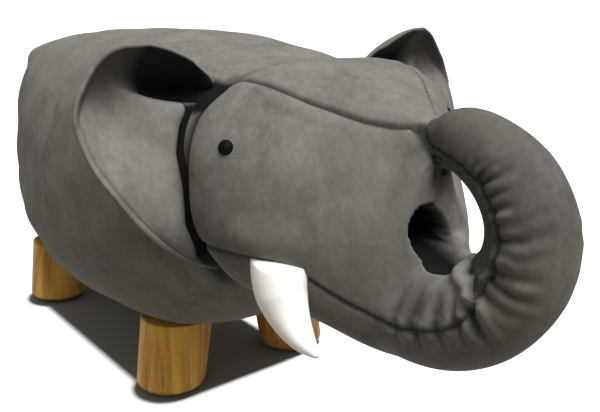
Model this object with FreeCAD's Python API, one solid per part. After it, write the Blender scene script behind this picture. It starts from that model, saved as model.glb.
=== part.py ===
import FreeCAD, Part
import math
import os

# Elephant-shaped footstool: a padded barrel body on four splayed wooden legs, a stuffed head
# whose trunk curls forward and up to the forehead, two standing ears and two tusks.
# The origin is on the floor in the middle of the overall box; +X is the nose, +Y the left side.

# Overall sizes
overall_length = 709.0
body_length = 461.0
body_width = 288.0
seat_height = 333.0
leg_height = 73.0

# Cover, padding and small clearances
cover_thickness = 1.6
dust_cover_thickness = 0.8
hem_width = 40.0
soft_gap = 0.4
cut_overrun = 5.0

# Body barrel: the neck ring is shared with the head
neck_half_width = 106.0
neck_top = 318.0
neck_bottom = 136.0
waist_height = 160.0
neck_waist_height = 232.0
waist_rise_share = 0.5
rump_seam_inset = 12.0

# Wooden frame inside the body
base_board_thickness = 15.0
seat_board_thickness = 12.0
rib_thickness = 12.0
frame_length = 350.0
frame_rear_inset = 24.0
base_half_width = 82.0
seat_half_width = 70.0
seat_board_top = 288.0
rib_window_radius = 34.0
board_rear_taper_length = 52.0
board_front_taper_length = 32.0
board_taper_width = 23.0
rib_end_inset = 8.0
rail_inset = 8.0
rail_width = 22.0
rail_height = 38.0
screw_spread = 70.0
screw_radius = 2.0
screw_length = 38.0
screw_head_radius = 4.0
screw_head_height = 2.4

# Legs, hanger bolts, tee nuts and glides
legs_from_rump = 198.0
leg_spacing = 282.0
leg_top_spread = 127.0
leg_splay = 11.0
leg_top_radius = 34.6
leg_foot_radius = 33.2
leg_foot_rounding = 6.0
leg_top_rounding = 1.5
bolt_radius = 4.0
bolt_in_leg = 32.0
bolt_stand_out = 3.0
tee_nut_flange_radius = 9.0
tee_nut_flange_thickness = 1.6
tee_nut_barrel_radius = 5.4
tee_nut_barrel_length = 11.0
thread_clearance = 0.05
glide_radius = 17.0
glide_thickness = 3.0
glide_chamfer = 0.8
glide_nail_radius = 1.6
glide_nail_length = 14.0

# Head: the forehead panel narrows to its tip, the cheeks' lower seams drop towards the trunk
head_length = 150.0
head_width = 252.0
forehead_tip_half_width = 13.0
forehead_middle_half_width = 60.0
forehead_neck_half_width = 86.0
forehead_length = 138.0
cheek_seam_neck_height = 196.0
cheek_seam_middle_height = 186.0
cheek_seam_front_height = 148.0

# Trunk curl
curl_from_neck = 164.1
curl_height = 215.0
curl_half_width = 53.0
curl_half_height = 66.0
trunk_root_radius = 46.0

# Ears: each swings about an upright line at the neck seam
ear_bottom = 163.0
ear_height = 173.0
ear_half_span = 190.0
ear_back = 29.0
ear_thickness = 9.0
ear_swing_degrees = 10.0
ear_clearance = 0.8

# Tusks and eyes
tusk_length = 52.0
tusk_from_neck = 70.0
tusk_root_height = 186.0
tusk_half_spread = 91.0
tusk_root_radius = 19.5
eye_radius = 5.5
eye_height = 3.5
eye_dent = 0.5
eye_from_neck = 48.0
eye_above_floor = 270.0
eye_shank_radius = 2.0
eye_shank_length = 9.0
eye_washer_radius = 8.0
eye_washer_thickness = 1.2

# Staples along the hem
staple_width = 10.0
staple_length = 7.0
staple_wire = 1.0
staple_edge_inset = 9.0
staple_pitch = 42.0
staple_row_length = 190.0
staple_end_offset = 14.0

# Roundness powers of the neck's section above and below its waist, and of a circle
neck_powers = (2.5, 2.2)
round_powers = (2.0, 2.0)

# Places that follow from the sizes above
rump_x = -overall_length / 2
neck_x = rump_x + body_length
legs_x = rump_x + legs_from_rump
underside = leg_height
hem_bottom = underside + dust_cover_thickness
board_bottom = hem_bottom + cover_thickness
board_top = board_bottom + base_board_thickness
frame_x = rump_x + frame_rear_inset
frame_front_x = frame_x + frame_length
seat_board_bottom = seat_board_top - seat_board_thickness

# Body sections: place along the body, half width, top and bottom as shares of the body's
# length, half width, seat height and leg height, then the roundness powers above and below.
body_section_shares = [
    (0.000, 0.540, 0.900, 1.30, 2.9, 2.5),
    (0.026, 0.655, 0.926, 0.92, 2.9, 2.6),
    (0.075, 0.705, 0.943, 0.78, 2.8, 2.6),
    (0.170, 0.800, 0.962, 0.70, 2.7, 2.6),
    (0.300, 0.900, 0.978, 0.68, 2.5, 2.5),
    (0.473, 0.980, 0.993, 0.68, 2.4, 2.5),
    (0.646, 1.000, 0.998, 0.70, 2.4, 2.4),
    (0.777, 0.960, 0.993, 0.78, 2.4, 2.4),
    (0.874, 0.885, 0.977, 1.08, 2.4, 2.4),
    (0.952, 0.790, 0.962, 1.50, 2.4, 2.3),
]

# Head sections: place along the head, half width, top, bottom and waist as shares of the
# head's length, half width and the neck's top, then the roundness powers above and below.
head_section_shares = [
    (0.05, 0.940, 1.008, 0.440, 0.750, 2.6, 2.2),
    (0.14, 1.010, 1.012, 0.425, 0.755, 2.6, 2.2),
    (0.28, 0.985, 1.006, 0.405, 0.740, 2.4, 2.1),
    (0.44, 0.865, 0.990, 0.380, 0.710, 2.2, 2.0),
    (0.60, 0.705, 0.968, 0.355, 0.680, 1.9, 2.0),
    (0.76, 0.480, 0.942, 0.335, 0.640, 1.8, 2.0),
    (0.88, 0.280, 0.915, 0.338, 0.620, 2.0, 2.0),
    (0.96, 0.160, 0.885, 0.370, 0.610, 2.0, 2.0),
    (1.00, 0.085, 0.835, 0.430, 0.610, 2.0, 2.0),
]

# Trunk path round the curl: shares of the curl's half width and half height, then the
# trunk's radius as a share of its radius at the root.
trunk_shares = [
    (-1.30, -0.88, 1.00),
    (-0.54, -0.985, 0.89),
    (0.15, -0.864, 0.83),
    (0.67, -0.561, 0.74),
    (0.98, -0.136, 0.67),
    (0.98, 0.318, 0.63),
    (0.69, 0.682, 0.585),
    (0.27, 0.894, 0.53),
    (-0.15, 0.985, 0.44),
    (-0.46, 1.03, 0.30),
]

# Ear slices from the bottom up: height as a share of the ear's height, inner and outer ends
# as shares of half the ears' span, their set-back as shares of the ear's set-back, the
# forward bow as a share of the set-back, and the thickness as a share of the ear's.
ear_slice_shares = [
    (0.000, 0.445, 0.520, 0.00, 0.00, 0.02, 0.45),
    (0.070, 0.480, 0.585, 0.00, 0.05, 0.04, 0.60),
    (0.145, 0.522, 0.650, 0.00, 0.17, 0.10, 0.75),
    (0.289, 0.565, 0.755, 0.00, 0.41, 0.20, 0.90),
    (0.410, 0.572, 0.853, 0.00, 0.66, 0.25, 1.00),
    (0.520, 0.566, 0.932, 0.00, 0.83, 0.15, 1.00),
    (0.630, 0.540, 0.988, 0.00, 0.97, -0.03, 1.00),
    (0.751, 0.475, 0.992, 0.00, 1.00, -0.25, 1.00),
    (0.827, 0.490, 0.970, 0.00, 0.93, -0.35, 1.00),
    (0.896, 0.545, 0.940, 0.05, 0.82, -0.35, 0.95),
    (0.954, 0.615, 0.905, 0.12, 0.72, -0.28, 0.80),
    (0.985, 0.680, 0.870, 0.25, 0.65, -0.10, 0.62),
    (1.000, 0.735, 0.830, 0.38, 0.55, -0.02, 0.45),
]

# Tusk path: forward and upward from its root as shares of its length, then the radius as a
# share of the radius at the root.
tusk_shares = [
    (-0.13, 0.33, 0.97),
    (0.00, 0.00, 1.00),
    (0.17, -0.40, 0.87),
    (0.44, -0.73, 0.67),
    (0.71, -0.90, 0.42),
    (0.94, -0.98, 0.18),
]


def point_on_ring(turn, half_width, rise, drop, powers):
    """One point of a rounded section, about its waist."""
    across = math.cos(turn)
    upward = math.sin(turn)
    height, power = (rise, powers[0]) if upward > 0 else (drop, powers[1])
    y = half_width * math.copysign(abs(across) ** (2 / power), across)
    z = height * math.copysign(abs(upward) ** (2 / power), upward)
    return y, z


def ring_wire(place, half_width, rise, drop, powers):
    """Closed section of eight arcs; place turns its y and z into a point."""
    arc_count = 8
    turns = [math.pi * (i + 1) / arc_count for i in range(2 * arc_count)]
    points = [place(*point_on_ring(t, half_width, rise, drop, powers)) for t in turns]
    edges = []
    for i in range(arc_count):
        first, middle = points[2 * i], points[2 * i + 1]
        last = points[(2 * i + 2) % len(points)]
        edges.append(Part.Arc(first, middle, last).toShape())
    return Part.Wire(edges)


def upright_ring(x, half_width, top, bottom, waist, inset, powers):
    """Section that stands square to the stool's length."""
    def place(y, z):
        return FreeCAD.Vector(x, y, waist + z)
    return ring_wire(place, half_width - inset, top - waist - inset, waist - bottom - inset, powers)


def neck_ring(inset):
    """Section that the body and the head share."""
    return upright_ring(neck_x, neck_half_width, neck_top, neck_bottom, neck_waist_height, inset, neck_powers)


def body_form(inset):
    """Whole barrel of the body, from the rump to the neck."""
    wires = []
    for along, wide, top, bottom, upper_power, lower_power in body_section_shares:
        x = rump_x + along * body_length + (inset if along == 0 else 0)
        rise = max(along - waist_rise_share, 0) / (1 - waist_rise_share)
        waist = waist_height + (neck_waist_height - waist_height) * rise
        wires.append(upright_ring(x, wide * body_width / 2, top * seat_height, bottom * leg_height,
                                  waist, inset, (upper_power, lower_power)))
    wires.append(neck_ring(inset))
    return Part.makeLoft(wires, True)


def head_form(inset):
    """Head from the neck ring to the face."""
    wires = [neck_ring(inset)]
    for along, wide, top, bottom, waist, upper_power, lower_power in head_section_shares:
        x = neck_x + along * head_length - (inset if along == 1 else 0)
        wires.append(upright_ring(x, wide * head_width / 2, top * neck_top, bottom * neck_top,
                                  waist * neck_top, inset, (upper_power, lower_power)))
    return Part.makeLoft(wires, True)


def limb_form(path, inset):
    """Tapering limb in an upright plane, with its sections square to its path."""
    wires = []
    for i, (x, z, radius) in enumerate(path):
        before = path[max(i - 1, 0)]
        after = path[min(i + 1, len(path) - 1)]
        run_x, run_z = after[0] - before[0], after[1] - before[1]
        run = math.hypot(run_x, run_z)
        end_step = inset if i == len(path) - 1 else 0
        centre = FreeCAD.Vector(x - run_x / run * end_step, 0, z - run_z / run * end_step)
        outward = FreeCAD.Vector(run_z / run, 0, -run_x / run)

        def place(y, r):
            return centre + outward * r + FreeCAD.Vector(0, y, 0)
        wires.append(ring_wire(place, radius - inset, radius - inset, radius - inset, round_powers))
    return Part.makeLoft(wires, True)


def trunk_path():
    """Centre points of the trunk in the middle plane, with its radius at each."""
    centre_x = neck_x + curl_from_neck
    return [(centre_x + across * curl_half_width, curl_height + up * curl_half_height, size * trunk_root_radius)
            for across, up, size in trunk_shares]


def tusk_form(inset):
    """Right tusk, from inside the cheek to its tip."""
    root_x = neck_x + tusk_from_neck
    path = [(root_x + ahead * tusk_length, tusk_root_height + up * tusk_length, size * tusk_root_radius)
            for ahead, up, size in tusk_shares]
    form = limb_form(path, inset)
    form.translate(FreeCAD.Vector(0, -tusk_half_spread, 0))
    return form


def ear_slice(share, inset):
    """Level section of the right ear: two bowed long sides and two rounded ends."""
    height, inner, outer, inner_back, outer_back, bow, thick = share
    end_step = inset if height == 0 else -inset if height == 1 else 0
    z = ear_bottom + height * ear_height + end_step
    start = FreeCAD.Vector(neck_x - inner_back * ear_back, -inner * ear_half_span - inset, z)
    end = FreeCAD.Vector(neck_x - outer_back * ear_back, inset - outer * ear_half_span, z)
    way = (end - start).normalize()
    ahead = FreeCAD.Vector(-way.y, way.x, 0)
    half = thick * ear_thickness / 2 - inset
    middle = (start + end) / 2 + ahead * bow * ear_back
    start_arc_middle, end_arc_middle = start, end
    start, end = start + way * half, end - way * half
    return Part.Wire([
        Part.Arc(start + ahead * half, middle + ahead * half, end + ahead * half).toShape(),
        Part.Arc(end + ahead * half, end_arc_middle, end - ahead * half).toShape(),
        Part.Arc(end - ahead * half, middle - ahead * half, start - ahead * half).toShape(),
        Part.Arc(start - ahead * half, start_arc_middle, start + ahead * half).toShape(),
    ])


def ear_form(inset):
    """Right ear as a cupped slab."""
    return Part.makeLoft([ear_slice(share, inset) for share in ear_slice_shares], True)


def ear_swing_spaces():
    """Head and body as the right ear meets them over its swing, with a clearance."""
    hinge = FreeCAD.Vector(neck_x, -neck_half_width, 0)
    up = FreeCAD.Vector(0, 0, 1)
    head, body = head_form(-ear_clearance), body_form(-ear_clearance)
    steps = [(head, -ear_swing_degrees), (head, 0), (head, ear_swing_degrees), (body, -ear_swing_degrees), (body, 0)]
    return [form.rotated(hinge, up, degrees) for form, degrees in steps]


def largest(shape):
    """Main solid of a shape, without slivers that a cut leaves."""
    return max(shape.Solids, key=lambda solid: solid.Volume)


def box(x0, x1, y0, y1, z0, z1):
    """Block between two corners."""
    return Part.makeBox(x1 - x0, y1 - y0, z1 - z0, FreeCAD.Vector(x0, y0, z0))


def plan_prism(points, z0, z1):
    """Straight-sided block over a closed outline in plan."""
    corners = [FreeCAD.Vector(x, y, z0) for x, y in points]
    outline = Part.makePolygon(corners + corners[:1])
    return Part.Face(outline).extrude(FreeCAD.Vector(0, 0, z1 - z0))


def save(name, shape):
    """Writes one node, without its construction seams."""
    shape.removeSplitter().exportStep("parts/" + name + ".step")


def mirrored(shape):
    return shape.mirror(FreeCAD.Vector(0, 0, 0), FreeCAD.Vector(0, 1, 0))


def with_mirror(shape):
    return shape.fuse(mirrored(shape))


def both_sides(name, right):
    """Writes a right-hand piece and its mirror image."""
    save(name.replace("SIDE", "right"), right)
    save(name.replace("SIDE", "left"), mirrored(right))


# Wooden frame

def frame_plan(z0, z1):
    """Block over the frame's outline, which tapers at both ends."""
    wide, narrow = base_half_width, base_half_width - board_taper_width
    right = [
        (frame_x, -narrow), (frame_x + board_rear_taper_length, -wide),
        (frame_front_x - board_front_taper_length, -wide), (frame_front_x, -narrow),
    ]
    return plan_prism(right + [(x, -y) for x, y in reversed(right)], z0, z1)


def frame_section(x, length):
    """Upright section of the frame from x on, with its sloping sides and both boards."""
    right = [
        (base_half_width, board_bottom), (base_half_width, board_top),
        (seat_half_width, seat_board_bottom), (seat_half_width, seat_board_top),
    ]
    outline = right + [(-y, z) for y, z in reversed(right)]
    corners = [FreeCAD.Vector(x, y, z) for y, z in outline]
    solid = Part.Face(Part.makePolygon(corners + corners[:1])).extrude(FreeCAD.Vector(length, 0, 0))
    return solid.common(frame_plan(board_bottom, seat_board_top))


def slab(shape, z0, z1):
    """Part of a shape between two levels."""
    return shape.common(box(-overall_length, overall_length, -body_width, body_width, z0, z1))


def leg_places():
    """Name, place and side of each leg's bolt."""
    places = []
    for end, step in (("front", leg_spacing / 2), ("rear", -leg_spacing / 2)):
        for side, sign in (("right", -1), ("left", 1)):
            places.append((end + "_" + side, legs_x + step, sign * leg_top_spread / 2, sign))
    return places


def rib_places():
    """Rear face of each upright rib."""
    rear = frame_x + rib_end_inset
    front = frame_front_x - rib_end_inset - rib_thickness
    return {"rear_rib": rear, "middle_rib": (rear + front) / 2, "front_rib": front}


def screw_places():
    """Foot and direction of each wood screw: up through the base, down through the seat board."""
    places = []
    for x in rib_places().values():
        for sign in (-1, 1):
            middle = x + rib_thickness / 2
            places.append((middle, sign * screw_spread / 2, board_bottom, 1))
            places.append((middle, sign * screw_spread / 2, seat_board_top, -1))
    return places


def screw(x, y, z, up):
    """Countersunk wood screw with its head flush at z."""
    start = FreeCAD.Vector(x, y, z)
    way = FreeCAD.Vector(0, 0, up)
    head = Part.makeCone(screw_head_radius, screw_radius, screw_head_height, start, way)
    shank = Part.makeCylinder(screw_radius, screw_length, start, way)
    return head.fuse(shank)


def frame_screws():
    return Part.makeCompound([screw(*place) for place in screw_places()])


def tee_nut_places():
    return [(x, y) for name, x, y, side in leg_places()]


def tee_nut(x, y):
    """Flange on top of the base board with a threaded barrel down into it."""
    flange_seat = FreeCAD.Vector(x, y, board_top)
    down = FreeCAD.Vector(0, 0, -1)
    flange = Part.makeCylinder(tee_nut_flange_radius, tee_nut_flange_thickness, flange_seat)
    barrel = Part.makeCylinder(tee_nut_barrel_radius, tee_nut_barrel_length, flange_seat, down)
    bore_length = tee_nut_barrel_length + tee_nut_flange_thickness + 2 * cut_overrun
    bore_start = FreeCAD.Vector(x, y, board_top - tee_nut_barrel_length - cut_overrun)
    bore = Part.makeCylinder(bolt_radius + thread_clearance, bore_length, bore_start)
    return flange.fuse(barrel).cut(bore)


def bolt_hole(x, y, radius, z0, z1):
    return Part.makeCylinder(radius, z1 - z0, FreeCAD.Vector(x, y, z0))


def base_board():
    board = frame_plan(board_bottom, board_top)
    for x, y in tee_nut_places():
        board = board.cut(bolt_hole(x, y, tee_nut_barrel_radius, board_bottom - cut_overrun, board_top + cut_overrun))
    return board.cut(frame_screws())


def seat_board():
    return slab(frame_section(frame_x, frame_length), seat_board_bottom, seat_board_top).cut(frame_screws())


def rib(x):
    """Upright with sloping sides, notched for the rails and with a round window."""
    plate = slab(frame_section(x, rib_thickness), board_top, seat_board_bottom)
    window_start = FreeCAD.Vector(x - cut_overrun, 0, (board_top + seat_board_bottom) / 2)
    window = Part.makeCylinder(rib_window_radius, rib_thickness + 2 * cut_overrun, window_start, FreeCAD.Vector(1, 0, 0))
    return plate.cut(window).cut(rail(-1)).cut(rail(1)).cut(frame_screws())


def rail(side):
    """Batten under the seat board, let into the ribs."""
    outer = side * (seat_half_width - rail_inset)
    inner = outer - side * rail_width
    ribs = rib_places()
    front = ribs["front_rib"] + rib_thickness
    return box(ribs["rear_rib"], front, min(outer, inner), max(outer, inner), seat_board_bottom - rail_height, seat_board_bottom)


# Legs

def rim(body, which):
    """Round rim at one end of a leg; which is min for the foot and max for the top."""
    rings = [edge for edge in body.Edges if edge.Closed and edge.BoundBox.ZLength < soft_gap]
    return which(rings, key=lambda edge: edge.BoundBox.ZMin)


def leg(x, y, side):
    """Turned leg that leans outward, cut level at both ends, with rounded rims."""
    lower = Part.Wire(Part.makeCircle(leg_foot_radius, FreeCAD.Vector(x, y + side * leg_splay, glide_thickness)))
    upper = Part.Wire(Part.makeCircle(leg_top_radius, FreeCAD.Vector(x, y, underside)))
    body = Part.makeLoft([lower, upper], True, True)
    body = body.makeFillet(leg_foot_rounding, [rim(body, min)])
    body = body.makeFillet(leg_top_rounding, [rim(body, max)])
    body = body.cut(bolt_hole(x, y, bolt_radius, underside - bolt_in_leg, underside + cut_overrun))
    nail_x, nail_y = glide_place(x, y, side)
    return body.cut(bolt_hole(nail_x, nail_y, glide_nail_radius, 0, glide_nail_length))


def glide_place(x, y, side):
    return x, y + side * leg_splay


def hanger_bolt(x, y):
    top = board_top + tee_nut_flange_thickness + bolt_stand_out
    return bolt_hole(x, y, bolt_radius, underside - bolt_in_leg, top)


def foot_glide(x, y, side):
    """Moulded disc with its nail."""
    x, y = glide_place(x, y, side)
    disc = bolt_hole(x, y, glide_radius, 0, glide_thickness)
    disc = disc.makeChamfer(glide_chamfer, [rim(disc, min)])
    return disc.fuse(bolt_hole(x, y, glide_nail_radius, glide_thickness / 2, glide_nail_length))


# Padding and cover spaces

def above(shape, z):
    """Part of a shape above a level."""
    low = box(-overall_length, overall_length, -body_width, body_width, -seat_height, z)
    return shape.cut(low)


def hem_opening():
    """Opening in the underside, inside the turned hem."""
    half = base_half_width - hem_width
    return box(frame_x + hem_width, frame_front_x - hem_width, -half, half, underside, board_bottom + cut_overrun)


def forehead_space():
    """Space over the forehead panel, between its curved seams in plan."""
    tip_x = neck_x + forehead_length

    def at(x, y):
        return FreeCAD.Vector(x, y, neck_waist_height)
    middle_x = (neck_x + tip_x) / 2
    right = Part.Arc(at(neck_x, -forehead_neck_half_width), at(middle_x, -forehead_middle_half_width),
                     at(tip_x, -forehead_tip_half_width)).toShape()
    left = Part.Arc(at(tip_x, forehead_tip_half_width), at(middle_x, forehead_middle_half_width),
                    at(neck_x, forehead_neck_half_width)).toShape()
    tip = Part.makeLine(at(tip_x, -forehead_tip_half_width), at(tip_x, forehead_tip_half_width))
    neck = Part.makeLine(at(neck_x, forehead_neck_half_width), at(neck_x, -forehead_neck_half_width))
    return Part.Face(Part.Wire([right, tip, left, neck])).extrude(FreeCAD.Vector(0, 0, seat_height))


def chin_space():
    """Space under the cheeks' lower seams, which curve down towards the trunk."""
    front_x = neck_x + head_length

    def at(x, z):
        return FreeCAD.Vector(x, -body_width, z)
    seam = Part.Arc(at(neck_x, cheek_seam_neck_height), at((neck_x + front_x) / 2, cheek_seam_middle_height),
                    at(front_x, cheek_seam_front_height)).toShape()
    front = Part.makeLine(at(front_x, cheek_seam_front_height), at(front_x, 0))
    floor = Part.makeLine(at(front_x, 0), at(neck_x, 0))
    neck = Part.makeLine(at(neck_x, 0), at(neck_x, cheek_seam_neck_height))
    return Part.Face(Part.Wire([seam, front, floor, neck])).extrude(FreeCAD.Vector(0, 2 * body_width, 0))


def strip_space():
    """Space inside the middle line of the trunk's curl, which its inner strip covers."""
    corners = [FreeCAD.Vector(x, -body_width, z) for x, z, radius in trunk_path()]
    return Part.Face(Part.makePolygon(corners + corners[:1])).extrude(FreeCAD.Vector(0, 2 * body_width, 0))


# Eyes

def cheek_point(x, z):
    """Point of the right cheek at a place along the head and a height, and the way out of it."""
    def reach(px, pz):
        outside = FreeCAD.Vector(px, -head_width, pz)
        return head_outer.common(Part.makeLine(outside, FreeCAD.Vector(px, 0, pz))).BoundBox.YMin
    slope_x = (reach(x + eye_radius, z) - reach(x - eye_radius, z)) / (2 * eye_radius)
    slope_z = (reach(x, z + eye_radius) - reach(x, z - eye_radius)) / (2 * eye_radius)
    return FreeCAD.Vector(x, reach(x, z), z), FreeCAD.Vector(slope_x, -1, slope_z).normalize()


def eye_shank(place, way):
    """Shank from inside the button to behind the washer."""
    return Part.makeCylinder(eye_shank_radius, eye_shank_length + eye_height / 2, place - way * eye_shank_length, way)


def eye(place, way):
    """Domed button set slightly into the cloth, with its shank."""
    back = place - way * eye_dent
    rise = eye_height + eye_dent
    dome_radius = (eye_radius ** 2 + rise ** 2) / (2 * rise)
    dome = Part.makeSphere(dome_radius, back + way * (rise - dome_radius))
    button = Part.makeCylinder(eye_radius, rise, back, way).common(dome)
    return button.fuse(eye_shank(place, way))


def eye_washer(place, way):
    """Washer on the shank, against the inner side of the cloth."""
    depth = cover_thickness + eye_washer_thickness
    disc = Part.makeCylinder(eye_washer_radius, depth, place - way * depth, way).common(head_inner)
    return disc.cut(eye_shank(place, way))


# Hem, dust cover and staples under the body

def staple(x, y, along_x):
    """Wire staple driven up through the dust cover and the hem into the board."""
    half = staple_width / 2
    bottom = underside - staple_wire
    if along_x:
        whole = box(x - half, x + half, y - staple_wire / 2, y + staple_wire / 2, bottom, underside + staple_length)
        inside = box(x - half + staple_wire, x + half - staple_wire, y - staple_wire, y + staple_wire,
                     underside, underside + staple_length + cut_overrun)
    else:
        whole = box(x - staple_wire / 2, x + staple_wire / 2, y - half, y + half, bottom, underside + staple_length)
        inside = box(x - staple_wire, x + staple_wire, y - half + staple_wire, y + half - staple_wire,
                     underside, underside + staple_length + cut_overrun)
    return whole.cut(inside)


def staples():
    """Two rows between the legs and a pair across each end."""
    row_y = base_half_width - staple_edge_inset
    count = int(staple_row_length / staple_pitch)
    pieces = []
    for side in (-1, 1):
        for i in range(count):
            pieces.append(staple(legs_x + (i - (count - 1) / 2) * staple_pitch, side * row_y, True))
        for x in (frame_x + staple_edge_inset, frame_front_x - staple_edge_inset):
            pieces.append(staple(x, side * staple_end_offset, False))
    return Part.makeCompound(pieces)


# Wooden frame, legs and fixings
os.makedirs("parts", exist_ok=True)
wood_screws = frame_screws()
hem_staples = staples()
bolts = Part.makeCompound([hanger_bolt(x, y) for x, y in tee_nut_places()])
save("frame_screws", wood_screws)
save("cover_staples", hem_staples)
save("hanger_bolts", bolts)
save("base_board", base_board().cut(hem_staples))
save("seat_board", seat_board())
for name, x in rib_places().items():
    save(name, rib(x))
save("side_rail_right", rail(-1))
save("side_rail_left", rail(1))
save("tee_nuts", Part.makeCompound([tee_nut(x, y) for x, y in tee_nut_places()]))
save("foot_glides", Part.makeCompound([foot_glide(x, y, side) for name, x, y, side in leg_places()]))
for name, x, y, side in leg_places():
    save("leg_" + name, leg(x, y, side))
save("dust_cover", frame_plan(underside, hem_bottom).cut(hem_staples).cut(bolts))

# Foam blocks round the frame
inner_body = above(body_form(cover_thickness), board_bottom)
padding = inner_body.cut(frame_section(frame_x, frame_length))
pad_space = box(-overall_length, overall_length, -body_width, body_width, seat_board_top, overall_length)
rear_space = box(-overall_length, frame_x, -body_width, body_width, 0, overall_length)
front_space = box(frame_front_x, overall_length, -body_width, body_width, 0, overall_length)
right_space = box(-overall_length, overall_length, -body_width, 0, 0, overall_length)
lower_padding = padding.cut(pad_space)
save("seat_foam", padding.common(pad_space))
save("rear_foam", lower_padding.common(rear_space))
save("front_foam", lower_padding.common(front_space))
side_padding = lower_padding.cut(rear_space).cut(front_space)
both_sides("side_foam_SIDE", side_padding.common(right_space))

# Head, trunk and tusk forms
head_outer = head_form(0)
head_inner = head_form(cover_thickness)
trunk_outer = limb_form(trunk_path(), 0)
trunk_inner = limb_form(trunk_path(), cover_thickness)
tusk_outer = tusk_form(0)
tusk_inner = tusk_form(cover_thickness)
save("trunk_stuffing", largest(trunk_inner.cut(head_outer)))
both_sides("tusk_SIDE_filling", tusk_inner.cut(head_outer))
both_sides("tusk_SIDE_cover", tusk_outer.cut(tusk_inner).cut(head_outer))

# Eyes: a domed button, its shank through the cheek and a washer behind the cloth
eye_place, eye_way = cheek_point(eye_from_neck + neck_x, eye_above_floor)
eye_button = eye(eye_place, eye_way)
eye_backing = eye_washer(eye_place, eye_way)
both_sides("eye_SIDE", eye_button)
both_sides("eye_washer_SIDE", eye_backing)
eye_spaces = with_mirror(eye_button.fuse(eye_backing))
save("head_stuffing", head_inner.cut(eye_spaces))

# Covers: the back panel runs on over the forehead, the chin panel runs on round the trunk
body_skin = above(body_form(0), hem_bottom).cut(inner_body).cut(hem_opening()).cut(bolts).cut(hem_staples)
rump_space = box(-overall_length, rump_x + rump_seam_inset, -body_width, body_width, 0, overall_length)
head_skin = head_outer.cut(head_inner).cut(eye_spaces)
forehead = head_skin.common(forehead_space())
chin = head_skin.cut(trunk_inner).common(chin_space())
cheek = head_skin.cut(trunk_inner).cut(forehead_space()).cut(chin_space()).common(right_space)
trunk_skin = trunk_outer.cut(trunk_inner).cut(head_outer)
save("rump_panel", body_skin.common(rump_space))
save("back_cover", body_skin.cut(rump_space).fuse(forehead))
both_sides("cheek_SIDE", largest(cheek))
save("trunk_inner_strip", trunk_skin.common(strip_space()))
save("trunk_cover", trunk_skin.cut(strip_space()).fuse(chin))

# Ears, cut clear of the head and the body over their whole swing
ear_outer, ear_inner = ear_form(0), ear_form(cover_thickness)
for space in ear_swing_spaces():
    ear_outer, ear_inner = ear_outer.cut(space), ear_inner.cut(space)
both_sides("ear_SIDE_cover", ear_outer.cut(ear_inner))
both_sides("ear_SIDE_padding", ear_inner)
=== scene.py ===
import math
import bpy
import numpy as np
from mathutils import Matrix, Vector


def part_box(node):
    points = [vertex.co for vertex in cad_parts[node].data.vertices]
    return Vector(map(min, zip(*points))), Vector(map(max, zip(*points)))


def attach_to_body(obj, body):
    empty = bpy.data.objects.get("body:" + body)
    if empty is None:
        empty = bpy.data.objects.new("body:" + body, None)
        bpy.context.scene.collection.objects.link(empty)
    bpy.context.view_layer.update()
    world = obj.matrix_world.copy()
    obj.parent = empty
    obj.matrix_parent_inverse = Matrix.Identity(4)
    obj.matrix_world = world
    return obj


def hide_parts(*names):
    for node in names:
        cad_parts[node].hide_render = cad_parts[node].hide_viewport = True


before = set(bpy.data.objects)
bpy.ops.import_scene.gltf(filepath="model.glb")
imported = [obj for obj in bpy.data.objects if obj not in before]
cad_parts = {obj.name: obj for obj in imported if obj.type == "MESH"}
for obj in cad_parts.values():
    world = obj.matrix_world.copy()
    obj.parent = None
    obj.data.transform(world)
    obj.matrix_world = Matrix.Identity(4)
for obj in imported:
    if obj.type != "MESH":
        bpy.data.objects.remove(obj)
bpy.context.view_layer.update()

# Camera
# Level with a person who sits across the room: about 0.9 m from the trunk, 51 degrees round from
# it on the elephant's right, looking down 17 degrees.
camera_place, looking_down, looking_round = (0.5825, -0.391, 0.380), 16.65, 51.33
camera_data = bpy.data.cameras.new("camera")
camera_data.lens = 45.6
camera_data.sensor_width = 36.0
camera_data.clip_end = 50.0
camera = bpy.data.objects.new("camera", camera_data)
camera.location = camera_place
camera.rotation_euler = (math.radians(90 - looking_down), 0.0, math.radians(looking_round))
bpy.context.scene.collection.objects.link(camera)
bpy.context.scene.camera = camera


# Wooden frame
# Two plywood boards on three upright ribs, with a pine batten along each side under the seat
# board. Sawn faces, no finish; all of it ends up inside the padding.
class Wire:
    """A shader value; an expression on it adds its Math nodes to the material."""

    def __init__(self, tree, socket=None):
        self.tree = tree
        self.socket = socket

    def put(self, target, value):
        """Links or sets one input socket."""
        if isinstance(value, Wire):
            self.tree.links.new(value.socket, target)
        else:
            target.default_value = value

    def node(self, kind, settings=None, sockets=None, out=0):
        """Adds a node of a type: its settings first, then the values or links of its sockets."""
        node = self.tree.nodes.new("ShaderNode" + kind)
        for name, value in (settings or {}).items():
            if name == "stops":
                for i, (place, colour) in enumerate(value):
                    ramp = node.color_ramp.elements
                    stop = ramp[i] if i < 2 else ramp.new(place)
                    stop.position, stop.color = place, (*colour, 1.0)
            else:
                setattr(node, name, value)
        for name, value in (sockets or {}).items():
            self.put(node.inputs[name], value)
        return Wire(self.tree, node.outputs[out] if node.outputs else None)

    def math(self, operation, *values):
        return self.node("Math", {"operation": operation}, dict(enumerate(values)))

    def __add__(self, other):
        return self.math("ADD", self, other)

    def __sub__(self, other):
        return self.math("SUBTRACT", self, other)

    def __rsub__(self, other):
        return self.math("SUBTRACT", other, self)

    def __mul__(self, other):
        return self.math("MULTIPLY", self, other)

    def clamp(self, low=0.0, high=1.0):
        return self.math("MAXIMUM", self.math("MINIMUM", self, high), low)

    __radd__ = __add__
    __rmul__ = __mul__


def start_material(name):
    """An empty material and the wire that adds its nodes."""
    material = bpy.data.materials.new(name)
    material.use_nodes = True
    material.node_tree.nodes.clear()
    return material, Wire(material.node_tree)


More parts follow.
